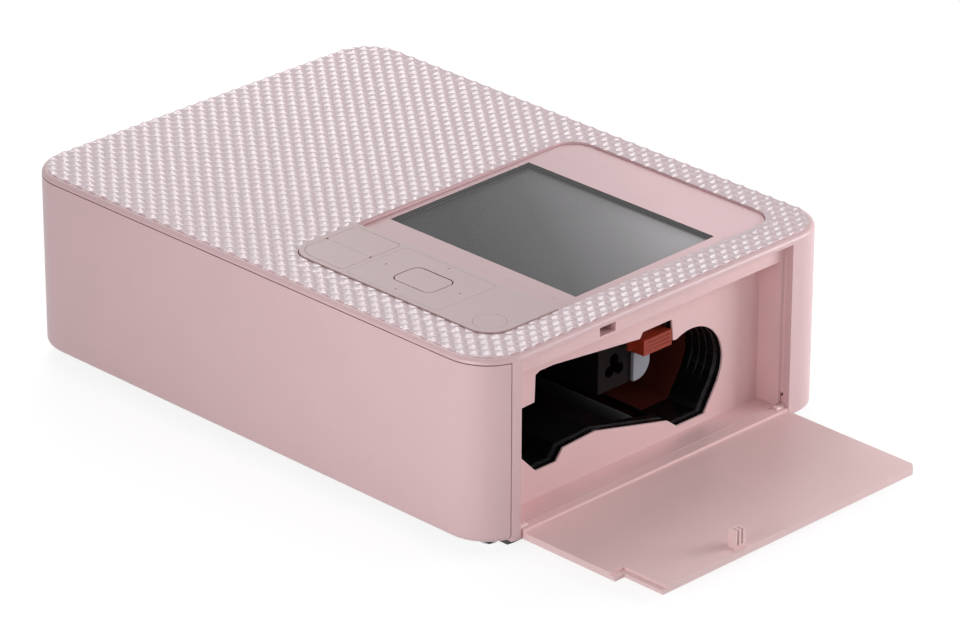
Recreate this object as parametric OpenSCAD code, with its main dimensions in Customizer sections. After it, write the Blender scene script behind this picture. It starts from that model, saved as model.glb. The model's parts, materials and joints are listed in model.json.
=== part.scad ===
// Compact photo printer with an open side door, a flip-down front cover,
// a tilted display and a small keypad. Millimetres. X runs along the long side,
// Y towards the back, Z up. The origin is on the table under the body's centre.

/* [Body] */
// Width of the body, left to right
body_w = 182.2; // [181.6:0.1:183]
// Depth of the body, front to back
body_d = 133; // [132.6:0.1:133.4]
// Height of the body, feet included
body_h = 57.6; // [57.5:0.05:57.8]
// Radius of the upright corners
corner_r = 13.45; // [13:0.05:14]
// Thickness of the side walls
wall = 2.2; // [2:0.05:2.3]
// Height of the lower edge of the side walls
wall_foot = 3.9; // [3.8:0.05:4.0]
// Thickness of the top plate
top_t = 2; // [1.8:0.1:2.1]
// Height that the pattern of the top has room for, up to the keypad's level
field_sink = 0.6; // [0.4:0.05:0.7]
// Radius of the rounded top edge
rim_r = 1.5; // [1.2:0.1:1.5]

/* [Base and feet] */
// Height of the underside of the base plate
base_z = 1.6; // [1.5:0.05:1.8]
// Thickness of the base plate
base_t = 2; // [1.8:0.05:2.1]
// How far the base plate is set in from the walls
base_inset = 3; // [2.8:0.1:3.4]
// Radius of a rubber foot
foot_r = 6; // [5:0.25:7]
// Height of a rubber foot
foot_h = 2; // [1.9:0.05:2.2]
// Distance of a foot's centre from the side
foot_in_x = 17.1; // [15.1:0.5:21.1]
// Distance of a foot's centre from the front and the back
foot_in_y = 20.5; // [20:0.5:23.5]

/* [Front cover] */
// How far the front cover wraps round the corners
cover_wrap = 9.7; // [9.5:0.05:9.9]
// Gap between the front cover and its neighbours
cover_gap = 0.3; // [0.25:0.05:0.4]
// Distance of the front cover's top edge below the top
cover_drop = 2.4; // [2.3:0.05:2.6]
// Height of the front cover's hinge axis
cover_pin_z = 5.6; // [5.5:0.05:5.7]
// Distance of the front cover's hinge axis behind the front
cover_pin_in = 5.5; // [5.4:0.05:5.6]
// Distance of the cover's hinge knuckles from the side
knuckle_in = 14.9; // [14.7:0.1:15.2]
// Radius of the cover's hinge pins
pin_r = 1; // [0.9:0.05:1.05]
// Radial play of pins and shafts
play = 0.05; // [0.03:0.01:0.08]

/* [Ink door] */
// Distance of the ink door's front edge behind the front
door_front = 13.5; // [13.3:0.05:13.6]
// Distance of the ink door's back edge before the back
door_back = 17.1; // [17:0.05:17.3]
// Clearance of the shut ink door below the top plate
door_gap = 0.4; // [0.25:0.05:0.75]
// Thickness of the ink door
door_t = 2; // [1.9:0.05:2.1]
// Distance from the hinge axis to the door's outer face
door_drop = 2.25; // [2.2:0.05:2.3]
// Height of the ink door's hinge axis
door_pin_z = 5.75; // [5.7:0.05:5.85]
// Radius of the door's hinge studs
stud_r = 1.2; // [1:0.05:1.3]
// Length of the door's hinge studs
stud_l = 2.6; // [2:0.1:2.8]

/* [Ink bay] */
// Depth of the door rabbet in the side wall
rabbet = 3; // [2.9:0.05:3.1]
// Distance of the bay's face plate from the side wall's outside
face_depth = 10.8; // [10.6:0.1:11]
// Step from the ink door's front edge to the pocket
pocket_front = 1.5; // [1.3:0.05:1.6]
// Step from the ink door's back edge to the pocket
pocket_back = 1; // [0.9:0.05:1.2]
// Floor of the pocket
pocket_z0 = 6.2; // [6.1:0.05:6.4]
// Distance of the pocket's ceiling below the top
pocket_drop = 8; // [7.9:0.05:8.2]
// Wall thickness of the bay frame
bay_wall = 1.6; // [1.5:0.05:1.7]
// Wall thickness of the cartridge guides
guide_wall = 1.3; // [1.2:0.05:1.4]
// Radius of the large spool chamber
spool_r = 12.6; // [12.4:0.05:12.7]
// Centre of the large spool chamber, front to back
spool_y = 21.6; // [21.4:0.05:21.8]
// Centre of the large spool chamber, up
spool_z = 23.2; // [23:0.05:23.4]
// Depth of the black mouth of the large chamber
mouth_l = 10; // [8:0.5:14]

/* [Control panel] */
// Distance of the control panel from the right side
panel_right = 12.1; // [12:0.05:12.2]
// Distance of the control panel from the front
panel_front = 13.1; // [13:0.05:13.2]
// Corner radius of the control panel
panel_r = 7.5; // [7:0.1:8]
// Depth of the keypad, up to the fold where the sunk window starts
keypad_d = 25.3; // [25.2:0.05:25.4]
// Depth of the window below the rim, at its front
window_sink_front = 1.9; // [1.8:0.05:2]
// Depth of the window below the rim, at its back
window_sink_back = 1.1; // [1:0.05:1.2]
// Gap round the keypad and the window
panel_gap = 0.25; // [0.2:0.05:0.3]
// Width of the display
lcd_w = 70; // [69.8:0.1:70.2]
// Depth of the display, front to back
lcd_d = 53.4; // [53.2:0.1:53.6]
// Margin of the window at the display's left
lcd_left = 2.2; // [2.1:0.05:2.3]
// Margin of the window at the display's right
lcd_right = 4.7; // [4.6:0.05:4.8]
// Margin of the window before the display
lcd_front = 11.1; // [10.9:0.1:11.3]
// Distance of the control panel from the back
panel_back = 10.25; // [10.1:0.05:10.4]

/* [Keys] */
// Gap round the centre key
ok_gap = 0.45; // [0.35:0.05:0.5]
// Hairline gap round the other keys
key_gap = 0.18; // [0.15:0.01:0.25]
// Travel of a key
key_travel = 0.4; // [0.3:0.05:0.5]
// Thickness of the keypad plate
key_t = 1.4; // [1.3:0.05:1.5]
// Width of the centre key
ok_w = 14.4; // [14:0.1:14.6]
// Depth of the centre key
ok_d = 10; // [9.6:0.1:10.2]
// Distance of the centre key's middle from the panel's left edge
ok_in_x = 39.5; // [39.3:0.05:39.7]
// Distance of the centre key's middle from the panel's front edge
ok_in_y = 12.5; // [12.4:0.05:12.6]
// Radius of the power key
power_r = 4.4; // [4.2:0.1:4.6]

/* [Print mechanism] */
// Distance of the mechanism's reference line behind the front
mech_in = 66.5; // [66.3:0.1:66.8]
// Thickness of the chassis plates
plate_t = 1.2; // [1.1:0.05:1.3]
// Distance of the left chassis plate from the left side
chassis_in = 49.1; // [48.6:0.1:49.6]
// Radius of the platen roller
platen_r = 4.2; // [4.1:0.05:4.25]
// Radius of the feed roller
feed_r = 2.6; // [2.5:0.05:2.7]
// Radius of the pinch roller
pinch_r = 2; // [1.9:0.05:2.05]
// Radius of the pick-up roller's tyres
pickup_r = 5.5; // [5.2:0.1:5.6]
// Radius of the roller shafts
shaft_r = 1.5; // [1.4:0.05:1.6]
// Travel of the eject lever
lever_travel = 2.3; // [2:0.1:2.4]
// Swing of the print head from parked to printing, degrees
head_swing = 14; // [12:0.5:14]
// Turn of the cam shaft for that swing, degrees
cam_turn = 150; // [150:1:155]

/* [Gears] */
// Gear module
gear_m = 0.5; // [0.49:0.005:0.5]
// Width of the gears
gear_w = 3; // [2.6:0.1:3.2]
// Teeth of each motor pinion
pinion_teeth = 12; // [12:1:12]
// Teeth of the feed roller's gear
feed_teeth = 16; // [16:1:16]
// Teeth of the take-up spindle's gear
take_teeth = 48; // [48:1:48]
// Teeth of the cam shaft's gear
cam_teeth = 36; // [36:1:36]

/* [Electronics] */
// Underside of the main board
board_z = 27; // [26.6:0.1:27.2]
// Thickness of the circuit boards
board_t = 1.6; // [1.5:0.05:1.6]
// Radius of a motor can
motor_r = 8.5; // [8:0.1:8.6]
// Length of a motor can
motor_l = 24; // [22:0.5:26]

/* [Hidden] */
$fn = 64;
eps = 0.01;

// Colours
shell_pink = [0.83, 0.72, 0.74];
deep_pink = [0.72, 0.56, 0.57];
black = [0.07, 0.07, 0.08];
dark = [0.2, 0.18, 0.19];
steel = [0.66, 0.67, 0.7];
orange = [0.62, 0.24, 0.13];
brown = [0.42, 0.22, 0.2];
board_green = [0.1, 0.32, 0.2];

// Body limits
half_w = body_w / 2;
half_d = body_d / 2;
corner_x = half_w - corner_r;
corner_y = half_d - corner_r;
field_z = body_h - field_sink;
plate_z = field_z - top_t;
inner_y = half_d - wall;
inner_x = half_w - wall;
base_top = base_z + base_t;
foot_x = half_w - foot_in_x;
foot_y = half_d - foot_in_y;
cover_z0 = wall_foot + 0.1;
cover_top = body_h - cover_drop;
cover_seam_y = cover_wrap - half_d;
cover_pin_y = cover_pin_in - half_d;
knuckle_x = half_w - knuckle_in;
cover_fillet = 2;
band_z = cover_top + cover_gap;
cover_inner_y = -inner_y;
front_frame_y = 6.5 - half_d;

// Door and bay
recess_z1 = plate_z;
door_y0 = door_front - half_d;
door_y1 = half_d - door_back;
door_reach = recess_z1 - door_gap - door_pin_z;
pocket_y0 = door_y0 + pocket_front;
pocket_y1 = door_y1 - pocket_back;
pocket_z1 = body_h - pocket_drop;
door_pin_x = half_w - door_drop;
rabbet_x = half_w - rabbet;
face_x = half_w - face_depth;
frame_back_x = rabbet_x - 2;
recess_y0 = door_y0 - 0.9;
recess_y1 = door_y1 + 0.3;
door_bottom = door_pin_z - door_drop;
door_top = door_bottom + door_t;
strip_h = 0.45;
strip_in = 0.95;
stud_block = 4.3;
seam_x = door_pin_x - strip_in - 0.35;
latch_y0 = door_y0 + 32;
latch_y1 = latch_y0 + 3.9;
latch_in = 1.4;
latch_l = 2.4;
latch_h = 5.2;
latch_z = door_pin_z + door_reach - latch_in - latch_l;
latch_gap = 0.45;
notch_x = 13.6;
notch_y = 3.5;
ledge_w = 1.6;
ledge_t = 0.9;

// The opening for the ribbon cartridge, as [y, z] corners from the reference line
mech_y = mech_in - half_d;
bay_left = -43.2;
bay_low = 14;
bay_top = pocket_z1 - 6.8;
bay_edge = [
    [bay_left, bay_top - 8.7], [-38.2, bay_top - 8.5], [-37.9, bay_top - 0.7], [-36.3, bay_top],
    [-31, bay_top], [1.6, bay_top - 3.5], [2.7, bay_top - 1.8], [13.9, bay_top - 1.8],
    [14.4, bay_top - 8.2], [21.6, 34], [32.8, 17], [27.4, 8.3], [16.7, 8.3], [13.1, 11.1],
    [-14.9, 17.8], [-27.4, 17.2], [-30, bay_low], [-37.5, bay_low], [bay_left, 19.8]
];
lever_y0 = mech_y + 2.9;
lever_y1 = lever_y0 + 10.8;
lever_h = 4.5;
lever_tail = 9;
spring_short = 4.5;
lever_z0 = pocket_z1 - spring_short - lever_travel - lever_tail;

// Mechanism axes, [y, z]
platen_at = [mech_y + 5, 8.2];
feed_at = [mech_y - 20, 8.4];
pinch_at = [feed_at[0], feed_at[1] + feed_r + 0.2 + pinch_r];
pickup_at = [front_frame_y + 8.5, 19.5];
take_at = [mech_y - 35.6, 25];
supply_at = [mech_y + spool_y, spool_z];
cam_at = [inner_y - 14.3, pocket_z1 - 12.6];
pivot_at = [cam_at[0] - 12, cam_at[1] + 7];
pivot_r = 2;
cam_shaft_r = 2;
chassis_x0 = chassis_in - half_w;
right_plate_x = face_x - 3.4;
guide_x1 = right_plate_x - 0.2;
guide_x0 = chassis_x0 + 0.2;
left_plate_x = chassis_x0 - plate_t;
roller_x0 = chassis_x0 + 8;
roller_x1 = right_plate_x - 4.9;
arm_x = [chassis_x0 + 3.8, right_plate_x - 6.5];
arm_t = 1.6;
cam_w = 3;
gear_x = left_plate_x - 0.6 - gear_w;
motor_x1 = gear_x - 1.2;

// Pitch radii and motor places
function pitch_r(teeth) = teeth * gear_m / 2;
function beside(at, dist, ang) = [at[0] + dist * cos(ang), at[1] + dist * sin(ang)];
feed_ang = 106;
take_ang = 217;
cam_ang = 245;
feed_motor_at = beside(feed_at, pitch_r(feed_teeth + pinion_teeth), feed_ang);
take_motor_at = beside(take_at, pitch_r(take_teeth + pinion_teeth), take_ang);
cam_motor_at = beside(cam_at, pitch_r(cam_teeth + pinion_teeth), cam_ang);

// Panel heights
frame_top = plate_z - 1;
frame_bottom = frame_top - 1.4;
key_top = body_h;
key_low = key_top - key_t;
flange_t = 0.8;
flange_w = 0.8;
flange_top = key_low - 0.1;
switch_top = frame_bottom + 0.3;
lcd_face_z = frame_top + 0.5;
key_board_z = frame_bottom - 2.4;
panel_x1 = half_w - panel_right;
panel_x0 = panel_x1 - lcd_left - lcd_w - lcd_right;
panel_y0 = panel_front - half_d;
fold_y = panel_y0 + keypad_d;
lcd_x0 = panel_x0 + lcd_left;
lcd_y0 = fold_y + lcd_front;
panel_y1 = half_d - panel_back;
ok_x = panel_x0 + ok_in_x;
ok_y = panel_y0 + ok_in_y;

// Places inside the case
gear_backlash = 0.16;
gear_steps = 4;
paper_x0 = chassis_x0 + 4;
paper_x1 = right_plate_x - 8.9;
slot_x0 = paper_x0 - 2;
slot_x1 = paper_x1 + 2;
hood_t = 1.6;
rear_slot_z0 = 4.9;
rear_slot_z1 = 10.6;
dc_x = 19.6 - half_w;
dc_z = 9.2;
dc_hole_r = 3.1;
column_r = 3.2;
screw_r = 1.25;
screw_head_r = 2.4;
back_columns = [for (s = [-1, 1]) [s * (half_w - 8.1), half_d - 9.2]];
front_bosses = [for (s = [-1, 1]) [s * (half_w - 9.6), 10.3 - half_d]];
front_edge_y = 7.7 - half_d;
foot_places = [for (x = [-foot_x, foot_x], y = [-foot_y, foot_y]) [x, y]];
ear_w = 1.5;
knuckle_w = 5;
ear_play = 0.3;
ear_reach = knuckle_w / 2 + ear_play + ear_w;
tray_z0 = 6;
tray_z1 = 35.5;
door_x1 = door_pin_x + door_reach;
latch_x = door_x1 - latch_in - latch_l;
frame_foot = pocket_z0 - bay_wall;
spring_z0 = lever_z0 + lever_tail + 0.05;
spring_z1 = pocket_z1 - 0.05;
spring_r = 1.3;
spring_wire = 0.25;
spring_turns = 5;
stem_r = 1.3;
pad_x0 = panel_x0 + 21.5;
pad_x1 = pad_x0 + 34.2;
pad_y0 = panel_y0 + 1.6;
pad_y1 = fold_y - 1.6;
pad_cx = ok_x - 0.3;
left_x0 = panel_x0 + 2.3;
left_x1 = pad_x0 - 2;
slit_y = ok_y + 0.1;
power_x = panel_x1 - 7.1;
power_y = panel_y0 + 6.9;
arrow_dots = [[ok_x - 0.4, ok_y + 9.9], [ok_x - 14.1, ok_y], [ok_x + 12.8, ok_y + 0.9], [ok_x - 1, ok_y - 9.1]];
chassis_z0 = base_top + 0.2;
chassis_y0 = front_frame_y + 4;
chassis_y1 = cam_at[0] + 6;
spindle_r = 2;
sink_y0 = mech_y - 7.8;
sink_y1 = sink_y0 + 12.6;
sink_z1 = pivot_at[1] - 7.7;
sink_z0 = sink_z1 - 12.5;
cap_y0 = sink_y1 + 0.02;
cap_w = 6.4;
cap_h = 8.5;
cap_r = 5;
cam_base = 4.5;
cam_low = 4.9;
cam_rise = (cam_at[0] - pivot_at[0]) * sin(head_swing) - 0.2;
cam_span = cam_turn - 14;
arm_foot = cam_at[1] + 5.2;
arm_top = pivot_at[1] + 3.2;
head_x1 = right_plate_x - 2.9;
chassis_z1 = pocket_z1 - 0.4;
head_gap_y0 = mech_y - 3.4;
head_gap_y1 = mech_y + 12;
board_x0 = 1.9 - inner_x;
board_x1 = chassis_x0 - 11;
board_y0 = 20.5 - half_d;
board_y1 = half_d - 30.5;
card_x1 = board_x0 + 25;
usb_x1 = board_x0 + 6.5;
card_y = board_y0 + 30;
usb_y = board_y0 + 10.8;
post_places = [[board_x0 + 3, board_y0 + 4], [board_x0 + 3, board_y1 - 4],
               [board_x1 - 3, mech_y + 2], [board_x1 - 3, mech_y + 22]];
ear_places = [for (s = [-1, 1]) each [s * knuckle_x - ear_reach,
                                      s * knuckle_x + ear_reach - ear_w]];
left_key_cx = (left_x0 + left_x1) / 2;
upper_key_cy = (slit_y + pad_y1) / 2;
lower_key_cy = (slit_y + pad_y0) / 2;
key_stems = [[ok_x, ok_y], [pad_cx, ok_y + 9], [pad_cx, ok_y - 9], [pad_cx - 13.6, ok_y], [pad_cx + 13.2, ok_y],
             [left_key_cx, upper_key_cy], [left_key_cx, lower_key_cy], [power_x, power_y]];

// ---------- shared shapes ----------

// Extrudes a [y, z] outline along X from x0 to x1
module along_x(x0, x1) {
    translate([x0, 0, 0]) rotate([90, 0, 90]) linear_extrude(x1 - x0) children();
}

// Round bar along X
module x_rod(at, r, x0, x1) {
    translate([x0, at[0], at[1]]) rotate([0, 90, 0]) cylinder(r = r, h = x1 - x0);
}

// Round bar along Y
module y_rod(x, z, r, y0, y1) {
    translate([x, y0, z]) rotate([-90, 0, 0]) cylinder(r = r, h = y1 - y0);
}

// Box between two corners
module block(a, b) {
    translate(a) cube(b - a);
}

// Rectangle with round corners, between two corners
module round_rect(a, b, r) {
    translate([a[0] + r, a[1]]) square([b[0] - a[0] - 2 * r, b[1] - a[1]]);
    translate([a[0], a[1] + r]) square([b[0] - a[0], b[1] - a[1] - 2 * r]);
    for (x = [a[0] + r, b[0] - r], y = [a[1] + r, b[1] - r]) translate([x, y]) circle(r);
}

// Plan of the body, set in by a distance
module body_plan(inset) {
    round_rect([inset - half_w, inset - half_d], [half_w - inset, half_d - inset],
               corner_r - inset);
}

// Slab of the body plan
module body_slab(inset, z0, z1) {
    translate([0, 0, z0]) linear_extrude(z1 - z0) body_plan(inset);
}

// Sweeps a wall section, drawn as [distance in from the corner axis, z], round the body plan
module wall_sweep() {
    for (side = [0, 1]) mirror([side, 0, 0]) {
        translate([corner_x, corner_y, 0]) rotate_extrude(angle = 90) children();
        translate([corner_x, -corner_y, 0]) rotate([0, 0, -90]) rotate_extrude(angle = 90) children();
        translate([corner_x, corner_y, 0]) rotate([90, 0, 0]) linear_extrude(2 * corner_y) children();
    }
    for (side = [0, 1]) mirror([0, side, 0])
        translate([-corner_x, corner_y, 0]) rotate([90, 0, 90]) linear_extrude(2 * corner_x) children();
}

// Involute gear outline, 25 degree pressure angle, a tooth centred on angle 0
function involute(rb, r) = sqrt(pow(r / rb, 2) - 1) * 180 / PI - acos(rb / r);
function tooth_half(rp, rb, r, teeth) =
    90 / teeth - gear_backlash / rp * 180 / PI / 2 + involute(rb, rp) - involute(rb, max(r, rb));
module gear_outline(teeth) {
    rp = pitch_r(teeth);
    rb = rp * cos(25);
    ro = rp + 0.9 * gear_m;
    rr = rp - 1.2 * gear_m;
    rs = max(rb, rr);
    flank = [for (k = [0:gear_steps]) rs + (ro - rs) * k / gear_steps];
    polygon([
        for (t = [0:teeth - 1]) each concat(
            [rr * [cos(360 / teeth * t - tooth_half(rp, rb, rs, teeth)),
                   sin(360 / teeth * t - tooth_half(rp, rb, rs, teeth))]],
            [for (r = flank) let(a = 360 / teeth * t - tooth_half(rp, rb, r, teeth)) r * [cos(a), sin(a)]],
            [for (k = [gear_steps:-1:0]) let(r = flank[k], a = 360 / teeth * t + tooth_half(rp, rb, r, teeth))
                r * [cos(a), sin(a)]],
            [rr * [cos(360 / teeth * t + tooth_half(rp, rb, rs, teeth)),
                   sin(360 / teeth * t + tooth_half(rp, rb, rs, teeth))]]
        )
    ]);
}

// Gear on an X axis, bored for its shaft
module x_gear(at, teeth, turn, x0, bore) {
    along_x(x0, x0 + gear_w) translate(at) difference() {
        rotate(turn) gear_outline(teeth);
        circle(bore);
    }
}

// Opening for the ribbon cartridge
module bay_outline() {
    translate([mech_y, 0]) polygon(bay_edge);
    translate(supply_at) circle(spool_r);
}

// ---------- housing ----------

// Side wall with a rounded top edge
module upper_wall_section() {
    difference() {
        translate([corner_r - wall, wall_foot]) square([wall, field_z - wall_foot]);
        difference() {
            translate([corner_r - rim_r, field_z - rim_r]) square(rim_r + eps);
            translate([corner_r - rim_r, field_z - rim_r]) circle(rim_r);
        }
    }
}

module vent_slots() {
    slot_w = 1.6;
    pitch = 3.6;
    // Left wall
    for (y = [corner_y - 5.4:-pitch:corner_y - 45.1])
        block([-half_w - 1, y, 14], [-inner_x + 1, y + slot_w, plate_z - 15]);
    // Back wall
    for (x = [2 - corner_x:pitch:34.5 - corner_x])
        block([x, inner_y - 1, 16], [x + slot_w, half_d + 1, plate_z - 13]);
}

module upper_case() {
    color(shell_pink) difference() {
        union() {
            wall_sweep() upper_wall_section();
            body_slab(rim_r, plate_z, field_z);
            // Screw columns at the back corners
            for (p = back_columns) translate([p[0], p[1], base_top + 0.1])
                cylinder(r = column_r, h = plate_z - base_top - 0.05);
            // Sockets for the door's hinge studs
            for (y = [recess_y0 - stud_block, recess_y1])
                block([frame_back_x + 0.3, y, wall_foot], [half_w - 0.6, y + stud_block, 9]);
        }
        // Front cover's place
        block([-half_w - 1, -half_d - 1, 0], [half_w + 1, cover_seam_y, band_z]);
        // Ink door's place
        block([frame_back_x - 2, recess_y0, 0], [half_w + 1, recess_y1, recess_z1]);
        y_rod(door_pin_x, door_pin_z, stud_r + play, recess_y0 - stud_l - 0.4, recess_y1 + stud_l + 0.4);
        // Control panel
        translate([0, 0, plate_z - 1]) linear_extrude(body_h)
            round_rect([panel_x0, panel_y0], [panel_x1, panel_y1], panel_r);
        // Paper leaves through the back while it is printed
        block([paper_x0, inner_y - 1, rear_slot_z0], [paper_x1, half_d + 1, rear_slot_z1]);
        // Card, data and power sockets
        block([-half_w - 1, card_y - 12.6, board_z + board_t + 0.3],
              [-inner_x + 1, card_y + 12.6, board_z + board_t + 2.9]);
        block([-half_w - 1, usb_y - 4.9, board_z + board_t + 0.1],
              [-inner_x + 1, usb_y + 4.9, board_z + board_t + 3.5]);
        y_rod(dc_x, dc_z, dc_hole_r + 0.5, inner_y - 1, half_d + 1);
        vent_slots();
        for (p = back_columns) translate([p[0], p[1], 0]) cylinder(r = screw_r + play, h = 16);
    }
}

module base_plate() {
    color(dark) difference() {
        union() {
            body_slab(base_inset, base_z, base_top);
            // Upstand that fits inside the side walls
            difference() {
                body_slab(wall + 0.2, base_z + 0.8, 7);
                body_slab(wall + 1.8, 0, 8);
            }
        }
        // Swing of the front cover
        block([-half_w, -half_d, 0], [half_w, front_edge_y, 20]);
        for (side = [-1, 1]) translate([side * (half_w + 5.6), 0, 0])
            block([-12.4, -half_d, 0], [12.4, cover_seam_y + 1.2, 20]);
        // Swing of the ink door and room for its stud sockets
        block([frame_back_x - 2.4, recess_y0 - stud_block - 0.3, base_top - eps],
              [half_w, recess_y1 + stud_block + 0.3, 20]);
        y_rod(door_pin_x, door_pin_z, door_drop + 0.6, recess_y0 - stud_block, recess_y1 + stud_block);
        block([rabbet_x - 0.3, recess_y0 - stud_block, door_bottom - 0.6],
              [half_w, recess_y1 + stud_block, 20]);
        // The sheet leaves over the back edge, and the power socket stands there
        block([paper_x0 - 2, inner_y - 6, base_top], [paper_x1 + 2, half_d, 20]);
        block([dc_x - 5, inner_y - 6, base_top], [dc_x + 5, half_d, 20]);
        for (p = back_columns) translate([p[0], p[1], base_top]) cylinder(r = column_r + 0.2, h = 10);
        // Seats of the feet
        for (p = foot_places) translate([p[0], p[1], 0]) cylinder(r = foot_r + 0.1, h = foot_h);
        // Screws from below
        for (p = concat(back_columns, front_bosses)) translate([p[0], p[1], 0]) {
            cylinder(r = screw_r + 0.2, h = 10);
            cylinder(r = screw_head_r + 0.2, h = base_z + 0.9);
        }
        // Air slots in the floor
        for (k = [0:7]) block([chassis_x0 - 18, -28 + k * 5, 0], [chassis_x0 - 8, -26 + k * 5, 10]);
    }
    // Hinge ears for the front cover
    color(dark) for (x = ear_places) difference() {
        union() {
            x_rod([cover_pin_y, cover_pin_z], 2.6, x, x + ear_w);
            block([x, cover_pin_y, cover_pin_z - 2.4], [x + ear_w, front_edge_y + 1, cover_pin_z + 2.4]);
            block([x, front_edge_y, base_z + 1], [x + ear_w, front_edge_y + 1, cover_pin_z]);
        }
        x_rod([cover_pin_y, cover_pin_z], pin_r, x - 1, x + ear_w + 1);
    }
}

module rubber_feet() {
    color(black) for (p = foot_places) translate([p[0], p[1], 0]) {
        translate([0, 0, 0.4]) cylinder(r = foot_r, h = foot_h - 0.4);
        cylinder(r1 = foot_r - 0.4, r2 = foot_r, h = 0.4);
    }
}

module case_screws() {
    color(steel) for (p = concat(back_columns, front_bosses)) translate([p[0], p[1], 0]) {
        translate([0, 0, base_z + 0.9 - 1.6]) difference() {
            cylinder(r = screw_head_r, h = 1.6);
            for (a = [0, 90]) rotate(a) block([-1.4, -0.3, -1], [1.4, 0.3, 0.8]);
        }
        translate([0, 0, base_z + 0.8]) cylinder(r = screw_r, h = 9);
    }
}

module cover_section() {
    difference() {
        translate([corner_r - wall, cover_z0]) square([wall, cover_top - cover_z0]);
        difference() {
            translate([corner_r - cover_fillet, cover_z0 - eps]) square([cover_fillet + 1, cover_fillet + eps]);
            translate([corner_r - cover_fillet, cover_z0 + cover_fillet]) circle(cover_fillet);
        }
    }
}

module front_cover() {
    color(shell_pink) {
        difference() {
            wall_sweep() cover_section();
            block([-half_w - 1, cover_seam_y - cover_gap, -1], [half_w + 1, half_d + 1, body_h]);
        }
        // Hinge knuckles
        for (s = [-1, 1]) let(x = s * knuckle_x - knuckle_w / 2) difference() {
            union() {
                x_rod([cover_pin_y, cover_pin_z], 2.3, x, x + knuckle_w);
                block([x, cover_inner_y - 0.5, cover_pin_z - 1.2],
                      [x + knuckle_w, cover_pin_y, cover_pin_z + 2.3]);
            }
            x_rod([cover_pin_y, cover_pin_z], pin_r + play, x - 1, x + knuckle_w + 1);
        }
        // Stiffening ribs
        for (k = [-2:2])
            block([k * half_w * 0.285, cover_inner_y - 0.5, 12],
                  [k * half_w * 0.285 + 1.2, cover_inner_y + 1.2, cover_top - 5.2]);
    }
}

module cover_hinge_pins() {
    color(steel) for (s = [-1, 1])
        x_rod([cover_pin_y, cover_pin_z], pin_r, s * knuckle_x - ear_reach, s * knuckle_x + ear_reach);
}

module front_frame() {
    color(deep_pink) difference() {
        union() {
            block([6.1 - half_w, front_frame_y, base_top + 0.05],
                  [half_w - 6.1, front_frame_y + 2, plate_z - 0.05]);
            // Hood round the paper slot
            block([slot_x0 - hood_t, front_frame_y, tray_z0 - 1.4],
                  [slot_x1 + hood_t, front_frame_y + 3.6, tray_z1 + hood_t]);
            for (p = front_bosses) translate([p[0], p[1], base_top + 0.05]) cylinder(r = 2.2, h = 12);
        }
        block([slot_x0, front_frame_y - 1, tray_z0], [slot_x1, front_frame_y + 6, tray_z1]);
        for (p = front_bosses) translate([p[0], p[1], 0]) cylinder(r = screw_r + play, h = 15);
        // Clearance for the hinge and for the cover's swing
        for (s = [0, 1]) mirror([s, 0, 0])
            block([knuckle_x - ear_reach - 0.25, front_frame_y - 1, 0], [half_w, front_frame_y + 2.4, 9.2]);
        // Follows the inside of the front corners
        difference() {
            block([-half_w, -half_d, 0], [half_w, front_frame_y + 1, body_h]);
            body_slab(wall + 0.6, -1, body_h + 1);
        }
    }
}

// ---------- ink door and bay ----------

// Section of the door across its hinge, as [x, z] from the hinge axis
module door_section() {
    translate([-strip_in, -door_drop]) square([strip_in + 2.2, door_drop + strip_h]);
    translate([0, -door_drop]) square([door_reach, door_t]);
}

module ink_door() {
    color(shell_pink) difference() {
        union() {
            translate([door_pin_x, door_y1, door_pin_z]) rotate([90, 0, 0])
                linear_extrude(door_y1 - door_y0) door_section();
            y_rod(door_pin_x, door_pin_z, stud_r, door_y0 - stud_l, door_y0 + 3);
            y_rod(door_pin_x, door_pin_z, stud_r, door_y1 - 3, door_y1 + stud_l);
            // Latch with two slots between three ribs
            difference() {
                block([latch_x, latch_y0, door_top - 0.5],
                      [latch_x + latch_l, latch_y1, door_top + latch_h]);
                for (y = [latch_y0 + 0.9, latch_y1 - 1.5])
                    block([latch_x + 0.6, y, door_top + 0.8],
                          [latch_x + latch_l + 1, y + 0.6, door_top + latch_h + 1]);
            }
        }
        // Finger notch at the near free corner, with a ledge round it
        block([door_x1 - notch_x, door_y0 - 1, door_bottom - 1],
              [door_x1 + 1, door_y0 + notch_y, door_top + 1]);
        block([door_x1 - notch_x - ledge_w, door_y0 - 1, door_bottom + door_t - ledge_t],
              [door_x1 + 1, door_y0 + notch_y + ledge_w, door_top + 1]);
        // Trimmed corner at the far end of the free edge
        translate([door_x1, door_y1, 0]) rotate([0, 0, 45]) block([-1.3, -3, 0], [1.3, 3, 10]);
    }
}

module ink_bay_frame() {
    color(deep_pink) intersection() {
        body_slab(wall + 0.02, 0, body_h);
        bay_frame_shape();
    }
}

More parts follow.
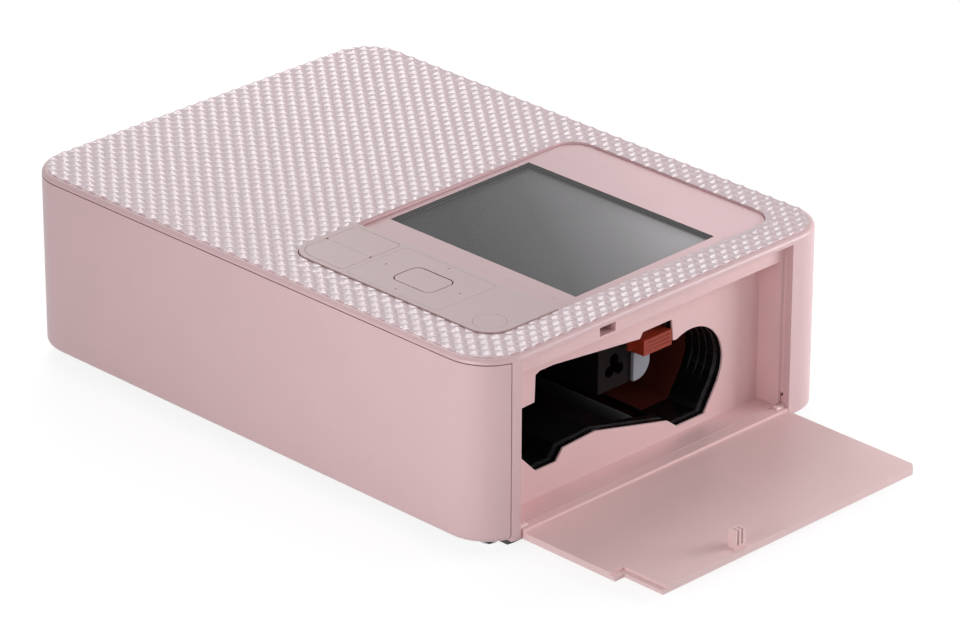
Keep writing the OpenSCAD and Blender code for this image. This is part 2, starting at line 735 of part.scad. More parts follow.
module bay_frame_shape() {
    difference() {
        union() {
            // Rabbet plate behind the side wall
            block([frame_back_x, recess_y0 - 2, frame_foot], [rabbet_x, recess_y1 + 2, plate_z - 0.1]);
            // Lands that touch the inside of the side wall
            block([rabbet_x - eps, recess_y0 - 2, 10], [inner_x - 0.02, recess_y0 - 0.02, plate_z - 0.1]);
            block([rabbet_x - eps, recess_y1 + 0.02, 10], [inner_x - 0.02, recess_y1 + 2, plate_z - 0.1]);
            // Pocket
            block([face_x - 2, pocket_y0 - bay_wall, pocket_z0 - bay_wall],
                  [rabbet_x, pocket_y1 + bay_wall, pocket_z1 + bay_wall]);
            // Seat of the lever spring
            block([right_plate_x - 4.2, lever_y0 + 2, pocket_z1],
                  [face_x - 1.9, lever_y1 - 2, pocket_z1 + 1.2]);
        }
        block([face_x, pocket_y0, pocket_z0], [half_w, pocket_y1, pocket_z1]);
        along_x(face_x - 3, face_x + 1) bay_outline();
        // Swing of the door's hinge edge
        block([seam_x, recess_y0 - 3, 0], [half_w, recess_y1 + 3, pocket_z0 + 0.5]);
        for (y = [recess_y0 - stud_block, recess_y1])
            block([frame_back_x, y - 0.2, 0], [half_w, y + stud_block + 0.2, 9.2]);
        // Latch slot
        block([frame_back_x - 3, latch_y0 - 1, latch_z - latch_gap],
              [rabbet_x + 1, latch_y1 + 1, latch_z + latch_l + latch_gap]);
    }
}

// Spool guides: the ring of wall between the cartridge opening and a plain outside
module guide_ring(y0, z0, y1, z1, x0, x1) {
    along_x(x0, x1) difference() {
        translate([mech_y + y0, z0]) square([y1 - y0, z1 - z0]);
        bay_outline();
    }
}

module front_spool_guide() {
    color(black) guide_ring(bay_left - guide_wall, bay_low - guide_wall, -27.4, bay_top + 1.2, guide_x0, guide_x1);
}

module rear_ring(x0, x1, r) {
    along_x(x0, x1) difference() {
        union() {
            translate(supply_at) circle(r + guide_wall);
            translate([supply_at[0] - 8.5, 8.3 - guide_wall]) square([16.5, 6]);
        }
        bay_outline();
        translate(supply_at) circle(r);
        translate([supply_at[0] - 7 - 2 * spool_r, 0]) square([2 * spool_r, body_h]);
    }
}

module rear_spool_mouth() {
    color(black) difference() {
        rear_ring(guide_x1 - mouth_l, guide_x1, spool_r);
        for (k = [1:3]) x_rod(supply_at, spool_r + 0.35, guide_x1 - k * 2.6, guide_x1 - k * 2.6 + 1.2);
    }
}

module rear_spool_chamber() {
    color(brown) rear_ring(guide_x0, guide_x1 - mouth_l - 0.02, spool_r);
}

module ribbon_floor() {
    color(black) difference() {
        along_x(guide_x0, guide_x1) translate([mech_y, 0]) polygon([
            [-27.2, 17.2], [-14.9, 17.8], [13.1, 11.1], [13.1, 11.1 - guide_wall], [-15, 17.8 - guide_wall],
            [-27.2, 17.2 - guide_wall]
        ]);
        block([roller_x0 - 1, head_gap_y0, 0], [head_x1 + 0.6, head_gap_y1, 30]);
    }
}

module eject_lever() {
    color(orange) {
        difference() {
            block([right_plate_x - 0.4, lever_y0, lever_z0], [face_x + 0.2, lever_y1, lever_z0 + lever_h]);
            // Ribbed thumb face
            for (k = [1:3]) block([face_x - 0.1, lever_y0 + 1, lever_z0 + k * 1.1],
                                  [face_x + 1, lever_y1 - 1, lever_z0 + k * 1.1 + 0.4]);
        }
        // Tail with the spring seat
        block([right_plate_x - 1.5, lever_y0 - 1.4, lever_z0 + 0.6],
              [right_plate_x - 0.3, lever_y1, lever_z0 + lever_tail]);
        block([right_plate_x - 4.2, lever_y0 + 2, lever_z0 + lever_tail - 1],
              [right_plate_x - 0.3, lever_y1 - 2, lever_z0 + lever_tail]);
    }
}

// Compression spring between the lever's tail and the bay frame
module lever_spring() {
    sides = 6;
    steps = 12 * spring_turns;
    pitch = (spring_z1 - spring_z0 - 2 * spring_wire) / steps;
    points = [for (k = [0:steps]) for (j = [0:sides - 1]) let(
        a = 30 * k, b = 360 / sides * j, r = spring_r + spring_wire * cos(b)
    ) [r * cos(a), r * sin(a), spring_wire + k * pitch + spring_wire * sin(b)]];
    faces = concat(
        [[for (j = [0:sides - 1]) j]],
        [for (k = [0:steps - 1]) for (j = [0:sides - 1])
            [k * sides + j, (k + 1) * sides + j, (k + 1) * sides + (j + 1) % sides, k * sides + (j + 1) % sides]],
        [[for (j = [sides - 1:-1:0]) steps * sides + j]]
    );
    color(steel) translate([right_plate_x - 2.4, (lever_y0 + lever_y1) / 2, spring_z0]) polyhedron(points, faces);
}

// ---------- control panel ----------

module panel_plan(grow) {
    round_rect([panel_x0 - grow, panel_y0 - grow], [panel_x1 + grow, panel_y1 + grow], panel_r + grow);
}

module panel_frame() {
    color(dark) difference() {
        union() {
            translate([0, 0, frame_bottom]) linear_extrude(frame_top - frame_bottom) panel_plan(1.5);
            translate([0, 0, frame_top - eps]) linear_extrude(plate_z - frame_top + eps) panel_plan(1.5);
            for (x = [panel_x0 + 5.9, panel_x1 - 7], y = [panel_y0 + 2.9, fold_y - 3.4]) translate([x, y, key_board_z + 1.2])
                cylinder(r = 1.5, h = frame_bottom - key_board_z - 1.2 + eps);
        }
        translate([0, 0, frame_top]) linear_extrude(5) panel_plan(0);
        // Display module
        block([lcd_x0 - 2.2, lcd_y0 - 2.2, frame_bottom - 1],
              [lcd_x0 + lcd_w + 2.2, lcd_y0 + lcd_d + 2.2, body_h]);
        // Key stems
        for (p = key_stems) translate([p[0], p[1], frame_bottom - 1]) cylinder(r = stem_r + 0.3, h = 10);
    }
}

// Window: flat below, sloping up towards the back
module display_window() {
    color(shell_pink) difference() {
        intersection() {
            translate([0, 0, frame_top]) linear_extrude(10) panel_plan(-panel_gap);
            along_x(panel_x0, panel_x1) polygon([
                [fold_y + 0.1, frame_top], [panel_y1, frame_top],
                [panel_y1, body_h - window_sink_back], [fold_y + 0.1, body_h - window_sink_front]
            ]);
        }
        block([lcd_x0, lcd_y0, frame_bottom], [lcd_x0 + lcd_w, lcd_y0 + lcd_d, body_h]);
    }
}

module display_glass() {
    color([0.75, 0.7, 0.72, 0.4]) along_x(lcd_x0 + 0.05, lcd_x0 + lcd_w - 0.05) polygon([
        [lcd_y0 + 0.05, window_z(lcd_y0) - 0.75], [lcd_y0 + lcd_d - 0.05, window_z(lcd_y0 + lcd_d) - 0.75],
        [lcd_y0 + lcd_d - 0.05, window_z(lcd_y0 + lcd_d) - 0.03], [lcd_y0 + 0.05, window_z(lcd_y0) - 0.03]
    ]);
}
function window_z(y) = body_h - window_sink_front
    + (window_sink_front - window_sink_back) * (y - fold_y) / (panel_y1 - fold_y);

module display_module() {
    color(black) {
        block([lcd_x0 - 2, lcd_y0 - 2, frame_bottom - 1.3],
              [lcd_x0 + lcd_w + 2, lcd_y0 + lcd_d + 2, frame_top - 0.02]);
        block([lcd_x0 + 0.2, lcd_y0 + 0.2, frame_top - 0.5],
              [lcd_x0 + lcd_w - 0.2, lcd_y0 + lcd_d - 0.2, lcd_face_z]);
    }
}

// Key cap with a retaining flange under the plate and a stem at each given place
module key(stems, top) {
    translate([0, 0, flange_top - eps]) linear_extrude(top - flange_top + eps) children(0);
    translate([0, 0, flange_top - flange_t]) linear_extrude(flange_t) children(1);
    for (p = stems) translate([p[0], p[1], switch_top + 0.05])
        cylinder(r = stem_r, h = key_low - switch_top - 0.5);
}

module keypad_plate() {
    color(shell_pink) difference() {
        union() {
            intersection() {
                translate([0, 0, key_low]) linear_extrude(key_t) panel_plan(-panel_gap);
                block([panel_x0, panel_y0, frame_bottom], [panel_x1, fold_y, body_h + 1]);
            }
            // Skirt down to the frame
            intersection() {
                translate([0, 0, frame_top]) linear_extrude(key_top - frame_top - 0.5) difference() {
                    panel_plan(-panel_gap);
                    panel_plan(-panel_gap - 1.1);
                }
                block([panel_x0, panel_y0, frame_bottom], [panel_x1, fold_y, body_h + 1]);
            }
            block([panel_x0 + panel_gap, fold_y - 0.8, frame_top],
                  [panel_x1 - panel_gap, fold_y, key_top - 0.5]);
        }
        translate([0, 0, key_low - 1]) linear_extrude(5) {
            round_rect([pad_x0 - key_gap, pad_y0 - key_gap], [pad_x1 + key_gap, pad_y1 + key_gap], 1.2 + key_gap);
            round_rect([left_x0 - key_gap, slit_y + key_gap / 2], [left_x1 + key_gap, pad_y1 + key_gap], 1.2);
            intersection() {
                round_rect([left_x0 - key_gap, pad_y0 - key_gap], [left_x1 + key_gap, slit_y - key_gap / 2], 1.2);
                panel_plan(-panel_gap - 1.7 + key_gap);
            }
            translate([power_x, power_y]) circle(power_r + key_gap);
        }
        block([left_x0 - key_gap, slit_y - 1.5, key_low - 1],
              [left_x1 + key_gap, slit_y + 1.5, key_top + 1]);
    }
}

module ok_plan(grow) {
    round_rect([ok_x - ok_w / 2 - grow, ok_y - ok_d / 2 - grow],
               [ok_x + ok_w / 2 + grow, ok_y + ok_d / 2 + grow], 2.4 + grow);
}

module ok_key() {
    color(shell_pink) key([key_stems[0]], key_top) {
        ok_plan(0);
        ok_plan(flange_w);
    }
}

module arrow_pad() {
    color(shell_pink) difference() {
        key([for (k = [1:4]) key_stems[k]], key_top) {
            round_rect([pad_x0, pad_y0], [pad_x1, pad_y1], 1.2);
            round_rect([pad_x0 - flange_w, pad_y0 + 0.1], [pad_x1 + flange_w, pad_y1 + 0.4], 1.2);
        }
        translate([0, 0, frame_bottom]) linear_extrude(10) ok_plan(ok_gap);
        // Room for the centre key's flange under the pad
        translate([0, 0, frame_bottom]) linear_extrude(key_low + key_travel + 0.1 - frame_bottom) ok_plan(flange_w + 0.4);
        // Arrow dimples
        for (p = arrow_dots) translate([p[0], p[1], key_top - 0.15]) cylinder(r = 0.45, h = 1);
    }
}

module edit_key() {
    color(shell_pink) key([key_stems[5]], key_top) {
        round_rect([left_x0, slit_y + key_gap / 2], [left_x1, pad_y1], 1);
        round_rect([left_x0 - 0.5, slit_y + key_gap], [left_x1 + 0.5, pad_y1 + 0.4], 1);
    }
}

module back_key() {
    color(shell_pink) key([key_stems[6]], key_top) {
        back_key_plan(0, 1.7);
        back_key_plan(0.5, 1.5);
    }
}

// The back key follows the panel's round corner
module back_key_plan(grow, edge) {
    intersection() {
        round_rect([left_x0 - grow, pad_y0 - grow], [left_x1 + grow, slit_y - key_gap / 2], 1);
        panel_plan(-panel_gap - edge);
    }
}

module power_key() {
    color(shell_pink) key([key_stems[7]], key_top) {
        translate([power_x, power_y]) circle(power_r);
        translate([power_x, power_y]) circle(power_r + 0.7);
    }
}

module key_board() {
    color(board_green) block([panel_x0 + 2.9, panel_y0 + 1, key_board_z],
                             [panel_x1 - 3, fold_y - 1.9, key_board_z + 1.2]);
    // Dome switches
    color(steel) for (p = key_stems) translate([p[0], p[1], key_board_z + 1.2 - eps])
        cylinder(r = 2.4, h = switch_top - key_travel - key_board_z - 1.25);
}

// ---------- chassis and paper path ----------

module shaft_holes() {
    for (h = [[platen_at, shaft_r], [feed_at, shaft_r], [pinch_at, 1.2], [pickup_at, shaft_r],
              [pivot_at, pivot_r], [cam_at, cam_shaft_r]])
        translate(h[0]) circle(h[1] + play);
}

module chassis_outline() {
    translate([chassis_y0, chassis_z0]) square([chassis_y1 - chassis_y0, chassis_z1 - chassis_z0]);
}

module chassis_left() {
    color(steel) along_x(left_plate_x, chassis_x0) difference() {
        chassis_outline();
        shaft_holes();
        translate(take_at) circle(spindle_r + play);
        translate(supply_at) circle(spindle_r + play);
    }
}

module chassis_right() {
    color(steel) along_x(right_plate_x + 0.02, right_plate_x + plate_t) difference() {
        chassis_outline();
        shaft_holes();
        bay_outline();
        // Room for the lever's tail
        translate([lever_y0 - 1.7, lever_z0]) square([lever_y1 - lever_y0 + 2, 20]);
    }
}

module chassis_floor() {
    color(steel) difference() {
        block([chassis_x0, chassis_y0 + 2, base_top + 0.02],
              [right_plate_x - 6.9, mech_y + 13, base_top + 0.22]);
        for (p = foot_places) translate([p[0], p[1], 0]) cylinder(r = 1, h = 10);
    }
}

module platen_shaft() {
    color(steel) x_rod(platen_at, shaft_r, left_plate_x - 0.3, right_plate_x + plate_t + 0.1);
}

module platen_rubber() {
    color(black) difference() {
        x_rod(platen_at, platen_r, roller_x0, roller_x1);
        x_rod(platen_at, shaft_r, roller_x0 - 1, roller_x1 + 1);
    }
}

module feed_roller() {
    color(steel) {
        x_rod(feed_at, feed_r, roller_x0, roller_x1);
        x_rod(feed_at, shaft_r, gear_x - 0.4, right_plate_x + plate_t + 0.1);
    }
}

module feed_gear() {
    color("ivory") x_gear(feed_at, feed_teeth, feed_ang, gear_x, shaft_r);
}

module pinch_roller() {
    color(dark) {
        x_rod(pinch_at, pinch_r, roller_x0, roller_x1);
        x_rod(pinch_at, 1.2, left_plate_x - 0.3, right_plate_x + plate_t + 0.1);
    }
}

module pickup_shaft() {
    color(steel) x_rod(pickup_at, shaft_r, left_plate_x - 0.3, right_plate_x + plate_t + 0.1);
}

module pickup_tyres() {
    tyre_w = 14;
    inset = (right_plate_x - chassis_x0) / 4;
    color(black) for (x = [chassis_x0 + inset, right_plate_x - inset - tyre_w]) difference() {
        x_rod(pickup_at, pickup_r, x, x + tyre_w);
        x_rod(pickup_at, shaft_r, x - 1, x + tyre_w + 1);
    }
}

// Splined hub that drives a ribbon spool
module spindle(at, x0) {
    x_rod(at, spindle_r, x0, chassis_x0 + 6);
    x_rod(at, 4.2, chassis_x0 + 0.4, chassis_x0 + 3);
    for (a = [0:60:300]) translate([0, at[0], at[1]]) rotate([a, 0, 0])
        block([chassis_x0 + 0.4, -0.5, 1], [chassis_x0 + 6, 0.5, 3.4]);
}

module take_up_spindle() {
    color("ivory") spindle(take_at, gear_x - 0.4);
}

module take_up_gear() {
    color("ivory") x_gear(take_at, take_teeth, take_ang, gear_x, spindle_r);
}

module supply_spindle() {
    color("ivory") {
        spindle(supply_at, left_plate_x - 2.4);
        x_rod(supply_at, 6, left_plate_x - 2.4, left_plate_x - 0.4);
    }
}

module lower_paper_guide() {
    color(black) difference() {
        block([paper_x0 + 2.4, front_frame_y + 5, base_top + 0.24],
              [paper_x1 - 0.4, mech_y - 25, tray_z0 - 0.1]);
        for (x = [paper_x0 + 10:12:paper_x1 - 10])
            block([x, front_frame_y + 6, base_top + 1.4], [x + 4, mech_y - 28, tray_z0]);
    }
}

module rear_paper_guide() {
    color(black) {
        block([paper_x0 + 4, mech_y + 14, base_top + 0.05], [paper_x1 - 2, inner_y - 0.4, base_top + 0.9]);
        for (x = [paper_x0 + 10:14:paper_x1 - 6])
            block([x, mech_y + 14, base_top + 0.8], [x + 1, inner_y - 0.4, base_top + 1.3]);
    }
}

// ---------- print head ----------

module head_bracket() {
    color(steel) {
        for (x = arm_x) along_x(x, x + arm_t) difference() {
            polygon([
                [sink_y0, sink_z1], [sink_y1, sink_z1], [sink_y1 + 5.2, pivot_at[1] - 1], [pivot_at[0] - 4.5, pivot_at[1] - 1],
                [pivot_at[0], pivot_at[1] - 3.4], [cam_at[0] - 4, arm_foot], [cam_at[0] + 2, arm_foot],
                [cam_at[0] + 2, arm_foot + 2.4], [cam_at[0] - 4, pivot_at[1] + 3], [pivot_at[0] - 4, arm_top],
                [sink_y0 + 6.8, arm_top], [sink_y0, pivot_at[1] - 1]
            ]);
            translate(pivot_at) circle(pivot_r + play);
        }
        // Cross bars between the arms
        block([arm_x[0], sink_y0, sink_z1], [arm_x[1] + arm_t, sink_y1, sink_z1 + 1.7]);
        block([arm_x[0], sink_y0 + 5.8, arm_top - 1.6], [arm_x[1] + arm_t, sink_y1 + 3.2, arm_top]);
    }
}

// Aluminium extrusion with three round flutes
module head_heat_sink() {
    color(dark) along_x(roller_x0 + 0.4, head_x1) difference() {
        translate([sink_y0, sink_z0]) square([sink_y1 - sink_y0, sink_z1 - 0.02 - sink_z0]);
        for (a = [90, 210, 330]) translate(beside([sink_y0 + 6.2, sink_z0 + 6.4], 2.1, a)) circle(1.7);
        translate([sink_y0 + 6.2, sink_z0 + 6.4]) circle(1.6);
    }
}

module thermal_head() {
    color([0.85, 0.83, 0.78]) along_x(roller_x0 + 2, roller_x1 - 2)
        translate([mech_y, sink_z0])
            polygon([[-4, -0.02], [-4, -1.2], [-1, -1.9], [1, -1.9], [3.6, -1], [3.6, -0.02]]);
}

module head_end_cap() {
    color([0.52, 0.54, 0.58]) along_x(head_x1 - 4, head_x1 + 1) difference() {
        union() {
            translate([cap_y0, sink_z0]) square([1.4, cap_h]);
            translate([cap_y0, sink_z0 + cap_r]) square([cap_w, cap_h - cap_r]);
            translate([cap_y0 + 1.4, sink_z0 + cap_r]) circle(cap_r);
        }
        translate([cap_y0 - 2 * cap_r, 0]) square([2 * cap_r, body_h]);
        translate([0, sink_z0 + cap_h]) square([20, 20]);
    }
}

module head_pivot_rod() {
    color(steel) x_rod(pivot_at, pivot_r, left_plate_x - 0.3, right_plate_x + plate_t);
}

// Cam whose radius grows evenly with the angle
function cam_edge(a) = a > 90 ? cam_base : a > 90 - cam_span ? cam_low + cam_rise * (90 - a) / cam_span
    : a > 76 - cam_span ? cam_low + cam_rise : max(cam_base, cam_low + cam_rise + (a + cam_span - 76) * 0.08);
module cam_shaft() {
    color("ivory") for (x = arm_x) along_x(x - 0.6, x - 0.6 + cam_w) translate(cam_at)
        polygon([for (a = [-180:6:174]) cam_edge(a) * [cos(a), sin(a)]]);
    color(steel) x_rod(cam_at, cam_shaft_r, gear_x - 0.4, right_plate_x + plate_t + 0.1);
}

module cam_gear() {
    color("ivory") x_gear(cam_at, cam_teeth, cam_ang, gear_x, cam_shaft_r);
}

// ---------- drives and electronics ----------

module motor(at) {
    color(steel) difference() {
        union() {
            x_rod(at, motor_r, motor_x1 - motor_l, motor_x1 - 0.4);
            x_rod(at, 3, motor_x1 - 0.5, motor_x1);
            x_rod(at, 2.5, motor_x1 - motor_l - 1.6, motor_x1 - motor_l + 0.1);
            // Mounting foot on the base
            block([motor_x1 - 8, at[0] - 4, base_top + 0.05], [motor_x1 - 6, at[0] + 4, at[1]]);
            block([motor_x1 - 17, at[0] - 4, base_top + 0.05], [motor_x1 - 15, at[0] + 4, at[1]]);
        }
        x_rod(at, 1 + play, motor_x1 - 5, motor_x1 + 1);
    }
}

module pinion(at, mate, teeth, ang) {
    color("gold") {
        x_gear(at, pinion_teeth, ang + 180 + 180 / pinion_teeth, gear_x, 1 - eps);
        x_rod(at, 1, motor_x1 - 4, gear_x + gear_w);
    }
}

module feed_motor() motor(feed_motor_at);
module ribbon_motor() motor(take_motor_at);
module head_motor() motor(cam_motor_at);
module feed_pinion() pinion(feed_motor_at, feed_at, feed_teeth, feed_ang);
module ribbon_pinion() pinion(take_motor_at, take_at, take_teeth, take_ang);
module head_pinion() pinion(cam_motor_at, cam_at, cam_teeth, cam_ang);

module main_board() {
    color(board_green) difference() {
        block([board_x0, board_y0, board_z], [board_x1, board_y1, board_z + board_t]);
        for (p = post_places) translate([p[0], p[1], 0]) cylinder(r = 1.2, h = 40);
    }
}

module board_parts() {
    z = board_z + board_t;
    color(black) {
        block([board_x0 + 13, mech_y + 6, z + 0.02], [board_x0 + 27, mech_y + 20, z + 1.4]);
        block([board_x0 + 3, mech_y + 10, z + 0.02], [board_x0 + 10, mech_y + 17, z + 1.2]);
        block([board_x0 + 21, board_y0 + 4, z + 0.02], [board_x0 + 29, board_y0 + 14, z + 1.4]);
        for (k = [0:3]) translate([board_x0 + 5 + k * 7, board_y1 - 8.5, z + 0.02]) cylinder(r = 2.6, h = 8);
    }
}

module board_posts() {
    color(dark) for (p = post_places) translate([p[0], p[1], base_top + 0.02]) {
        cylinder(r = 2.4, h = board_z - base_top - 0.04);
        cylinder(r = 1.1, h = board_z + board_t - base_top + 0.8);
    }
}

module card_slot() {
    z = board_z + board_t + 0.02;
    color(steel) difference() {
        block([-inner_x + 0.2, card_y - 14, z], [card_x1, card_y + 14, z + 3.2]);
        block([-inner_x - 1, card_y - 12.2, z + 0.5], [card_x1 - 2, card_y + 12.2, z + 2.7]);
    }
}

module usb_port() {
    z = board_z + board_t + 0.02;
    color(steel) difference() {
        block([-inner_x + 0.2, usb_y - 4.6, z], [usb_x1, usb_y + 4.6, z + 3.4]);
        block([-inner_x - 1, usb_y - 4.2, z + 0.4], [usb_x1 - 1.5, usb_y + 4.2, z + 3]);
    }
    color(black) block([-inner_x + 1.2, usb_y - 3.2, z + 1.3], [usb_x1 - 1.4, usb_y + 3.2, z + 2.1]);
}

module dc_inlet() {
    color(black) difference() {
        block([dc_x - 4.6, inner_y - 13, base_top + 0.02], [dc_x + 4.6, inner_y - 0.1, dc_z + 4.6]);
        y_rod(dc_x, dc_z, dc_hole_r, inner_y - 10, inner_y + 1);
    }
    color(steel) y_rod(dc_x, dc_z, 0.8, inner_y - 11, inner_y - 0.8);
}

upper_case();
base_plate();
rubber_feet();
case_screws();
front_cover();
cover_hinge_pins();
front_frame();
ink_door();
ink_bay_frame();
front_spool_guide();
rear_spool_mouth();
rear_spool_chamber();
ribbon_floor();
eject_lever();
lever_spring();
panel_frame();
display_window();
display_glass();
display_module();
keypad_plate();
ok_key();
arrow_pad();
edit_key();
back_key();
power_key();
key_board();
chassis_left();
chassis_right();
chassis_floor();
platen_rubber();
platen_shaft();
feed_roller();
feed_gear();
pinch_roller();
pickup_shaft();
pickup_tyres();
take_up_spindle();
take_up_gear();
supply_spindle();
head_bracket();
head_heat_sink();
thermal_head();
head_end_cap();
head_pivot_rod();
cam_shaft();
cam_gear();
feed_motor();
feed_pinion();
ribbon_motor();
ribbon_pinion();
head_motor();
head_pinion();
lower_paper_guide();
rear_paper_guide();
main_board();
board_parts();
card_slot();
usb_port();
dc_inlet();
board_posts();
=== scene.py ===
"""Looks of a compact photo printer with its ink door open.

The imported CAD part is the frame. Lengths are in millimetres and go through MM, apart from those of
the lamps and the floor, which are in metres.
"""

import json
import math

import bmesh
import bpy
from mathutils import Matrix, Vector


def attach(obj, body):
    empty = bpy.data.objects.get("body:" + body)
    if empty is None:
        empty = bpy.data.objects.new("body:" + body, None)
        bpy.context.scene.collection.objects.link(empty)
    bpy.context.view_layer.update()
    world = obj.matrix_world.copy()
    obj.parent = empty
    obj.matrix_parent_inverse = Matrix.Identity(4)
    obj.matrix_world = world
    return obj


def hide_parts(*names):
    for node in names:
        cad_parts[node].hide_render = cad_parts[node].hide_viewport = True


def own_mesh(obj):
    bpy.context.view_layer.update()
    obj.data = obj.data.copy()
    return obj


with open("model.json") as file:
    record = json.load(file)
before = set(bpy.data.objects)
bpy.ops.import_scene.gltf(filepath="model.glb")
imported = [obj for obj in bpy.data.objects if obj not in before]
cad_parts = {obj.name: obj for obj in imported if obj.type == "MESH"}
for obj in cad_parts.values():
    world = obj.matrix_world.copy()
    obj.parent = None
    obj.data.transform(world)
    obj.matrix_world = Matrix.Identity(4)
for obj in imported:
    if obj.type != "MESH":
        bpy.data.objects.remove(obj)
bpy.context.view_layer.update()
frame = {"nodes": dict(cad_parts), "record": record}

MM = 0.001
NODES = frame["nodes"]
BODY_OF = {
    node: body
    for body, members in frame["record"]["behaviour"]["bodies"].items()
    for node in members
}
SLOT_OF = {part["node"]: part["material_slot"] for part in frame["record"]["subparts"]}
scene = bpy.context.scene


# ---------- sizes shared with the part, mm ----------

BODY_HALF = (91.1, 66.5)
CORNER_R = 13.45
RIM_R = 1.5
# Plain field of the top, inside its rim
FIELD_Z = 57.0
# Control panel: corners at the front left and the back right
PANEL_LOW = (2.1, -53.4)
PANEL_HIGH = (79.0, 56.25)
PANEL_R = 7.5
# Above this height the keys pass through the keypad plate
KEY_CAP_Z = 55.6
# Back and front faces of the plate that the cartridge opening goes through
PLATE_BACK, PLATE_FRONT = 78.3, 80.3


# ---------- materials ----------

# Where the dark and the pale cloud colours sit in the noise
CLOUD_STOPS = (0.3, 0.7)
# How much finer the patches of roughness are than the clouds of colour
GLOSS_FINER = 5
ROUGH_SPREAD = 0.06
LEAST_ROUGH = 0.02
GRAIN_SCALE = 5000
GRAIN_H = 0.02
# The diagonal over the panel is x + DIAGONAL_CLIMB * y, between these two, mm
DIAGONAL_CLIMB = 1.6
DIAGONAL = (-15, 125)
# (place on the diagonal, grey) of the switched-off display, near black with a painted reflection
# that grows paler to the back right, and the same for the window's painted reflection, a factor on
# its pink
DISPLAY_PAINTED_REFLECTION = [(0, 0.004), (0.19, 0.02), (0.47, 0.115), (0.72, 0.32), (1, 0.66)]
WINDOW_PAINTED_REFLECTION = [(0.4, 0.85), (0.657, 0.975), (1, 1.19)]


def linear(r, g, b):
    """An 8-bit screen colour as a linear one."""
    def one(value):
        value /= 255
        return value / 12.92 if value <= 0.04045 else ((value + 0.055) / 1.055) ** 2.4
    return (one(r), one(g), one(b), 1.0)


class Nodes:
    """Small helper round a node tree."""

    def __init__(self, tree, clear=True):
        self.tree = tree
        if clear:
            tree.nodes.clear()

    def add(self, kind, **values):
        node = self.tree.nodes.new(kind)
        for key, value in values.items():
            if key in node.inputs:
                node.inputs[key].default_value = value
            else:
                setattr(node, key, value)
        return node

    def link(self, source, target):
        self.tree.links.new(source, target)


def new_material(name):
    """A material, its emptied node tree and the tree's output."""
    material = bpy.data.materials.new(name)
    material.use_nodes = True
    n = Nodes(material.node_tree)
    return material, n, n.add("ShaderNodeOutputMaterial")


def colour_ramp(n, source, stops):
    """Turns a value into a colour, by (value, colour) stops."""
    ramp = n.add("ShaderNodeValToRGB")
    elements = ramp.color_ramp.elements
    for k, (position, colour) in enumerate(stops):
        # A new ramp has two elements
        element = elements[k] if k < 2 else elements.new(position)
        element.position = position
        element.color = colour
    n.link(source, ramp.inputs["Fac"])
    return ramp.outputs["Color"]


def moulded(name, colour, rough=0.5, spread=0.04, cloud=60, grain=0.0, coat=0.0, coat_rough=0.1,
            metallic=0.0, specular=0.5, streak=None):
    """Plastic, rubber or metal: cloudy colour, uneven roughness and a fine procedural grain."""
    material, n, out = new_material(name)
    shader = n.add("ShaderNodeBsdfPrincipled", Metallic=metallic)
    shader.inputs["Specular IOR Level"].default_value = specular
    shader.inputs["Coat Weight"].default_value = coat
    shader.inputs["Coat Roughness"].default_value = coat_rough
    n.link(shader.outputs[0], out.inputs[0])
    where = n.add("ShaderNodeTexCoord").outputs["Object"]
    if streak:
        stretch = n.add("ShaderNodeMapping")
        stretch.inputs["Scale"].default_value = streak
        n.link(where, stretch.inputs["Vector"])
        where = stretch.outputs[0]
    clouds = n.add("ShaderNodeTexNoise", Scale=cloud, Detail=4.0, Roughness=0.55)
    n.link(where, clouds.inputs["Vector"])
    tones = (tuple(c * (1 - spread) for c in colour[:3]) + (1,),
             tuple(min(1, c * (1 + spread)) for c in colour[:3]) + (1,))
    cloudy = colour_ramp(n, clouds.outputs["Fac"], zip(CLOUD_STOPS, tones))
    n.link(cloudy, shader.inputs["Base Color"])
    gloss = n.add("ShaderNodeTexNoise", Scale=cloud * GLOSS_FINER, Detail=3.0)
    n.link(where, gloss.inputs["Vector"])
    spread_map = n.add("ShaderNodeMapRange")
    spread_map.inputs["To Min"].default_value = max(LEAST_ROUGH, rough - ROUGH_SPREAD)
    spread_map.inputs["To Max"].default_value = rough + ROUGH_SPREAD
    n.link(gloss.outputs["Fac"], spread_map.inputs["Value"])
    n.link(spread_map.outputs[0], shader.inputs["Roughness"])
    if grain:
        fine = n.add("ShaderNodeTexNoise", Scale=GRAIN_SCALE, Detail=2.0)
        n.link(where, fine.inputs["Vector"])
        bump = n.add("ShaderNodeBump", Strength=grain, Distance=GRAIN_H * MM)
        n.link(fine.outputs["Fac"], bump.inputs["Height"])
        n.link(bump.outputs[0], shader.inputs["Normal"])
    return material


def clear_glass(name):
    """Thin clear cover glass: only its outer faces reflect, and what lies below stays in view."""
    material, n, out = new_material(name)
    clear = n.add("ShaderNodeBsdfTransparent")
    gloss = n.add("ShaderNodeBsdfGlossy", Roughness=0.03)
    edge = n.add("ShaderNodeFresnel", IOR=1.37)
    side = n.add("ShaderNodeNewGeometry")
    outer = n.add("ShaderNodeMath", operation="SUBTRACT")
    outer.inputs[0].default_value = 1
    share = n.add("ShaderNodeMath", operation="MULTIPLY")
    mix = n.add("ShaderNodeMixShader")
    place = n.add("ShaderNodeTexCoord")
    haze = n.add("ShaderNodeTexNoise", Scale=40.0, Detail=2.0)
    n.link(place.outputs["Object"], haze.inputs["Vector"])
    tint = colour_ramp(n, haze.outputs["Fac"], [(0, (0.95, 0.94, 0.95, 1)),
                                                (1, (0.99, 0.98, 0.99, 1))])
    n.link(tint, clear.inputs["Color"])
    n.link(side.outputs["Backfacing"], outer.inputs[1])
    n.link(edge.outputs[0], share.inputs[0])
    n.link(outer.outputs[0], share.inputs[1])
    n.link(share.outputs[0], mix.inputs["Fac"])
    n.link(clear.outputs[0], mix.inputs[1])
    n.link(gloss.outputs[0], mix.inputs[2])
    n.link(mix.outputs[0], out.inputs[0])
    return material


